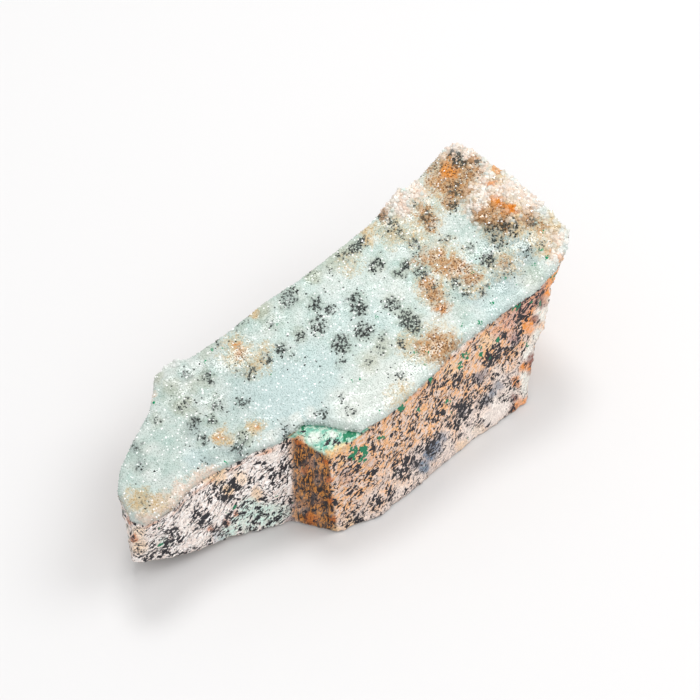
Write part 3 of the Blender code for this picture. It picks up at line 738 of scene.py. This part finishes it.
def quartzMaterial(name, values):
    # quartz that takes its colour from each crystal
    material, tree, shader = newMaterial(name)
    tint = node(tree, "Attribute", attribute_name="tint").outputs["Color"]
    tree.links.new(tint, shader.inputs["Base Color"])
    for socket, value in values.items():
        shader.inputs[socket].default_value = value
    return material


def buildCrustBed(material):
    look = crustLook
    bm = evenCopy("druse_crust", look["cell"])
    points = np.array([vert.co for vert in bm.verts])
    fine = cloud(points, 0.5 * mm, 41)
    for vert, small in zip(bm.verts, fine):
        if vert.normal.z > -0.5:
            vert.co -= vert.normal * (look["inset"] + look["insetWaver"] * small) * mm
        else:
            vert.co.z -= look["gapFill"] * mm
    piece = finishPiece("crust_bed", bm, material)
    mesh = piece.data
    mesh.shade_smooth()
    points = meshPoints(mesh)
    colours, pixels, _ = crustColours(points, np.random.default_rng(5))
    colours = stain(colours, look["dark"], smokeAt(points, pixels) * 0.5)
    colours = blend(colours, rockLook["seamShade"], softLine(pixels, look["darkEdge"], 0.5) * 0.7)
    keepColours(mesh, "tint", colours)
    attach(piece, "root")
    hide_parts("druse_crust")
    return piece


# Quartz strewn over the crust: even sugar, grains painted white among it as glints, coarse points on the
# raised places
fineSugar = {
    "closest": 0.27 * mm, "smallest": 0.30 * mm, "largest": 0.56 * mm, "paintedGlint": 0.035,
    "corners": 7, "height": 0.56, "raised": 0.2,
}
glints = {"closest": 0.80 * mm, "smallest": 0.28 * mm, "largest": 0.60 * mm, "paintedGlint": 0.24}
sugarSets = {
    "sugar_thin_end": {**fineSugar, "seed": 8, "where": "sugarThin"},
    "sugar_thick_end": {**fineSugar, "seed": 18, "where": "sugarThick"},
    "sugar_glints": {**fineSugar, **glints, "seed": 28, "where": "sugar"},
}
coarse = {
    "seed": 48, "where": "coarse", "closest": 0.5 * mm, "smallest": 0.6 * mm, "largest": 1.2 * mm,
    "corners": 13, "height": 0.34, "raised": -0.3,
    "gain": 1.1622, "uneven": 0.08, "clearest": 0.4, "darkest": 0.5,
    "spots": (
        (500, 203, 30, 1.0), (478, 196, 15, 1.0), (525, 207, 14, 1.0), (396, 200, 15, 1.0),
        (411, 189, 9, 1.0), (460, 148, 14, 0.9), (443, 153, 8, 0.8), (478, 157, 9, 0.8),
        (512, 178, 10, 0.7), (530, 192, 9, 0.8), (560, 236, 9, 0.9), (556, 252, 8, 0.8),
        (171, 363, 7, 0.8), (548, 216, 8, 0.6),
    ),
}
strewn = {
    "density": 2.0e7, "lean": 26.0, "forms": 6, "formSeed": 3, "thinEndX": 4.0 * mm,
    "rim": (0.78, 1.12), "tipShift": 0.2, "peakShift": 0.15, "peakRise": (0.35, 0.55),
}


def crystalForms(name, settings):
    # six-sided points with uneven faces and an off-centre tip; those with more corners are blunt
    forms = bpy.data.collections.new(name)
    pick = np.random.default_rng(strewn["formSeed"])
    blunt = settings["corners"] > 7
    height, tip, peakShift = settings["height"], strewn["tipShift"], strewn["peakShift"]
    for k in range(strewn["forms"]):
        bm = bmesh.new()
        top = 0.5 if blunt else 0.0
        cone = bmesh.ops.create_cone(bm, cap_ends=True, segments=6, radius1=0.5, radius2=top, depth=height)
        made = cone["verts"]
        if blunt:
            upper = [vert for vert in made if vert.co.z > 0]
            cap = next(face for face in bm.faces if all(vert in upper for vert in face.verts))
            peak = bmesh.ops.poke(bm, faces=[cap])["verts"][0]
            across, along = pick.uniform(-peakShift, peakShift), pick.uniform(-peakShift, peakShift)
            peak.co += Vector((across, along, pick.uniform(*strewn["peakRise"])))
        for vert in made:
            if blunt or vert.co.z < 0:
                vert.co.xy *= pick.uniform(*strewn["rim"])
            else:
                vert.co.xy += Vector((pick.uniform(-tip, tip), pick.uniform(-tip, tip)))
        bmesh.ops.translate(bm, verts=bm.verts[:], vec=(0.0, 0.0, settings["raised"] * height))
        mesh = bpy.data.meshes.new("crystal_form")
        bm.to_mesh(mesh)
        bm.free()
        forms.objects.link(bpy.data.objects.new("crystal_form", mesh))
    return forms


def strewCrystals(name, bed, forms, settings):
    # points spread over the bed's upper side, each given a crystal of random form, size and lean
    tree = bpy.data.node_groups.new(name, "GeometryNodeTree")
    tree.interface.new_socket("Geometry", in_out="INPUT", socket_type="NodeSocketGeometry")
    tree.interface.new_socket("Geometry", in_out="OUTPUT", socket_type="NodeSocketGeometry")
    start = tree.nodes.new("NodeGroupInput")
    end = tree.nodes.new("NodeGroupOutput")
    spread = tree.nodes.new("GeometryNodeDistributePointsOnFaces")
    spread.distribute_method = "POISSON"
    spread.inputs["Distance Min"].default_value = settings["closest"]
    spread.inputs["Density Max"].default_value = strewn["density"]
    spread.inputs["Seed"].default_value = settings["seed"]
    share = tree.nodes.new("GeometryNodeInputNamedAttribute")
    share.data_type = "FLOAT"
    share.inputs["Name"].default_value = settings["where"]
    tree.links.new(share.outputs["Attribute"], spread.inputs["Density Factor"])
    source = tree.nodes.new("GeometryNodeCollectionInfo")
    source.inputs["Collection"].default_value = forms
    source.inputs["Separate Children"].default_value = True
    source.inputs["Reset Children"].default_value = True
    place = tree.nodes.new("GeometryNodeInstanceOnPoints")
    place.inputs["Pick Instance"].default_value = True
    size = tree.nodes.new("FunctionNodeRandomValue")
    size.inputs[2].default_value = settings["smallest"]
    size.inputs[3].default_value = settings["largest"]
    size.inputs["Seed"].default_value = settings["seed"] + 1
    spin = tree.nodes.new("FunctionNodeRandomValue")
    spin.data_type = "FLOAT_VECTOR"
    lean = math.radians(strewn["lean"])
    spin.inputs[0].default_value = (-lean, -lean, -math.pi)
    spin.inputs[1].default_value = (lean, lean, math.pi)
    spin.inputs["Seed"].default_value = settings["seed"] + 2
    swing = tree.nodes.new("GeometryNodeRotateInstances")
    real = tree.nodes.new("GeometryNodeRealizeInstances")
    tree.links.new(start.outputs[0], spread.inputs["Mesh"])
    tree.links.new(spread.outputs["Points"], place.inputs["Points"])
    tree.links.new(spread.outputs["Rotation"], place.inputs["Rotation"])
    tree.links.new(source.outputs[0], place.inputs["Instance"])
    tree.links.new(size.outputs[1], place.inputs["Scale"])
    tree.links.new(place.outputs[0], swing.inputs["Instances"])
    tree.links.new(spin.outputs[0], swing.inputs["Rotation"])
    tree.links.new(swing.outputs[0], real.inputs[0])
    tree.links.new(real.outputs[0], end.inputs[0])
    grown = bed.copy()
    grown.data = bed.data.copy()
    scene.collection.objects.link(grown)
    grown.modifiers.new("strew", "NODES").node_group = tree
    made = grown.evaluated_get(bpy.context.evaluated_depsgraph_get())
    mesh = bpy.data.meshes.new_from_object(made)
    mesh.name = name
    bpy.data.objects.remove(grown, do_unlink=True)
    piece = bpy.data.objects.new(name, mesh)
    scene.collection.objects.link(piece)
    return piece


def tileCrystals(mesh, count, crystals):
    # each crystal has one colour, so it gets a tile of its own: its base round the edge, its tip within
    rows = math.ceil(math.sqrt(crystals))
    corners = np.empty(len(mesh.loops), dtype=int)
    mesh.loops.foreach_get("vertex_index", corners)
    crystal, corner = corners // count, corners % count
    angle = 2.0 * math.pi * (corner % 6) / 6.0
    reach = np.where(corner < 6, 0.30, 0.12)
    u = (crystal % rows + 0.5 + reach * np.cos(angle)) / rows
    v = (crystal // rows + 0.5 + reach * np.sin(angle)) / rows
    layer = mesh.uv_layers.new(name="OFBake")
    layer.data.foreach_set("uv", np.stack([u, v], axis=1).ravel())


def finishCrystals(piece, material, count, colours):
    mesh = piece.data
    for name in ("tint", "sugar", "sugarThin", "sugarThick", "coarse"):
        mesh.attributes.remove(mesh.attributes[name])  # the bed's own, carried along by the strewing
    keepColours(mesh, "tint", np.repeat(colours, count, axis=0))
    mesh.materials.clear()
    mesh.materials.append(material)
    tileCrystals(mesh, count, len(colours))
    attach(piece, "root")
    print(piece.name, "crystals", len(colours), "triangles", sum(len(f.vertices) - 2 for f in mesh.polygons))


def crystalCentres(piece, count):
    points = meshPoints(piece.data)
    return points.reshape(len(points) // count, count, 3).mean(axis=1)


# Chances and strengths of what happens to single grains: some near a spot are dark, some inside it clear;
# white is how strongly a glint is painted
grainLook = {
    "uneven": 0.06, "loose": 0.003, "looseNear": 0.03, "looseDark": 0.8, "clearInside": 0.26,
    "smoke": (0.5, 1.0), "rust": (0.2, 1.0), "white": (0.7, 1.0),
    "rustFields": ((1.0, 0.26 * mm, 38), (0.5, 0.8 * mm, 40)), "rustAbove": 0.03,
}


def buildSugar(bed, material):
    look, grain = crustLook, grainLook
    forms = crystalForms("sugar_forms", fineSugar)
    for name, settings in sugarSets.items():
        piece = strewCrystals(name, bed, forms, settings)
        centres = crystalCentres(piece, settings["corners"])
        many = len(centres)
        pick = np.random.default_rng(settings["seed"])
        colours, pixels, browned = crustColours(centres, pick)
        colours *= np.exp(pick.normal(0.0, grain["uneven"], many))[:, None]
        near = softSpots(pixels, look["smokySpots"], 2.0, 1.0)
        loose = pick.random(many) < grain["loose"] + grain["looseNear"] * near
        inside = smokeAt(centres, pixels) * (pick.random(many) > grain["clearInside"])
        smoky = np.maximum(inside, grain["looseDark"] * loose)
        smoke = smoky * pick.uniform(*grain["smoke"], many)
        colours = stain(colours, look["dark"], smoke * (1.0 - 0.7 * browned))
        colours = stain(colours, look["darkBrown"], smoke * 0.9 * browned)
        rusty = clouds(centres, *grain["rustFields"]) > grain["rustAbove"]
        colours = stain(colours, look["darkBrown"], rusty * browned * pick.uniform(*grain["rust"], many))
        # a share of the grains is painted white, as glints of reflected light
        paintedGlint = pick.random(many) < settings["paintedGlint"] * (1.0 - 0.75 * (smoky > 0))
        colours = blend(colours, look["white"], paintedGlint * pick.uniform(*grain["white"], many))
        colours = blend(colours, look["green"], softSpots(pixels, look["greenSpecks"]))
        finishCrystals(piece, material, settings["corners"], colours)


def buildCoarse(bed, material):
    look = crustLook
    piece = strewCrystals("quartz_points", bed, crystalForms("point_forms", coarse), coarse)
    centres = crystalCentres(piece, coarse["corners"])
    many = len(centres)
    pick = np.random.default_rng(coarse["seed"])
    colours, pixels, browned = crustColours(centres, pick)
    warm = np.maximum(browned, softSpots(pixels, spotsOf("orange"), 1.6))
    clear = pick.uniform(0.0, coarse["clearest"], many) * (1.0 - warm)
    colours = blend(colours * coarse["gain"], look["white"], clear)
    smoky = smokeAt(centres, pixels)
    colours = stain(colours, look["dark"], smoky * pick.uniform(0.0, coarse["darkest"], many))
    colours *= np.exp(pick.normal(0.0, coarse["uneven"], many))[:, None]
    finishCrystals(piece, material, coarse["corners"], colours)


rock = buildRock()
print("rock block made", len(rock.data.polygons))
sugarMaterial = quartzMaterial("sugar_quartz", crustLook["sugarQuartz"])
bed = buildCrustBed(sugarMaterial)
bedPixels = photoPixels(meshPoints(bed.data))
bedNormals = meshNormals(bed.data)
coarseShare = softSpots(bedPixels, coarse["spots"]) * soft(bedNormals[:, 2], 3.0)
coarseShare *= 1.0 - softSpots(bedPixels, crustLook["smokySpots"], 1.2)
coarseShare *= 1.0 - softSpots(bedPixels, spotsOf("brown"))
keepValues(bed.data, "coarse", coarseShare)
sugarShare = soft(bedNormals[:, 2], 2.5, 1.5) * (1.0 - 0.35 * coarseShare)
thinSide = meshPoints(bed.data)[:, 0] < strewn["thinEndX"]
keepValues(bed.data, "sugar", sugarShare)
keepValues(bed.data, "sugarThin", sugarShare * thinSide)
keepValues(bed.data, "sugarThick", sugarShare * ~thinSide)
print("crust bed made", len(bed.data.polygons))
buildSugar(bed, sugarMaterial)
buildCoarse(bed, quartzMaterial("clear_quartz", crustLook["clearQuartz"]))
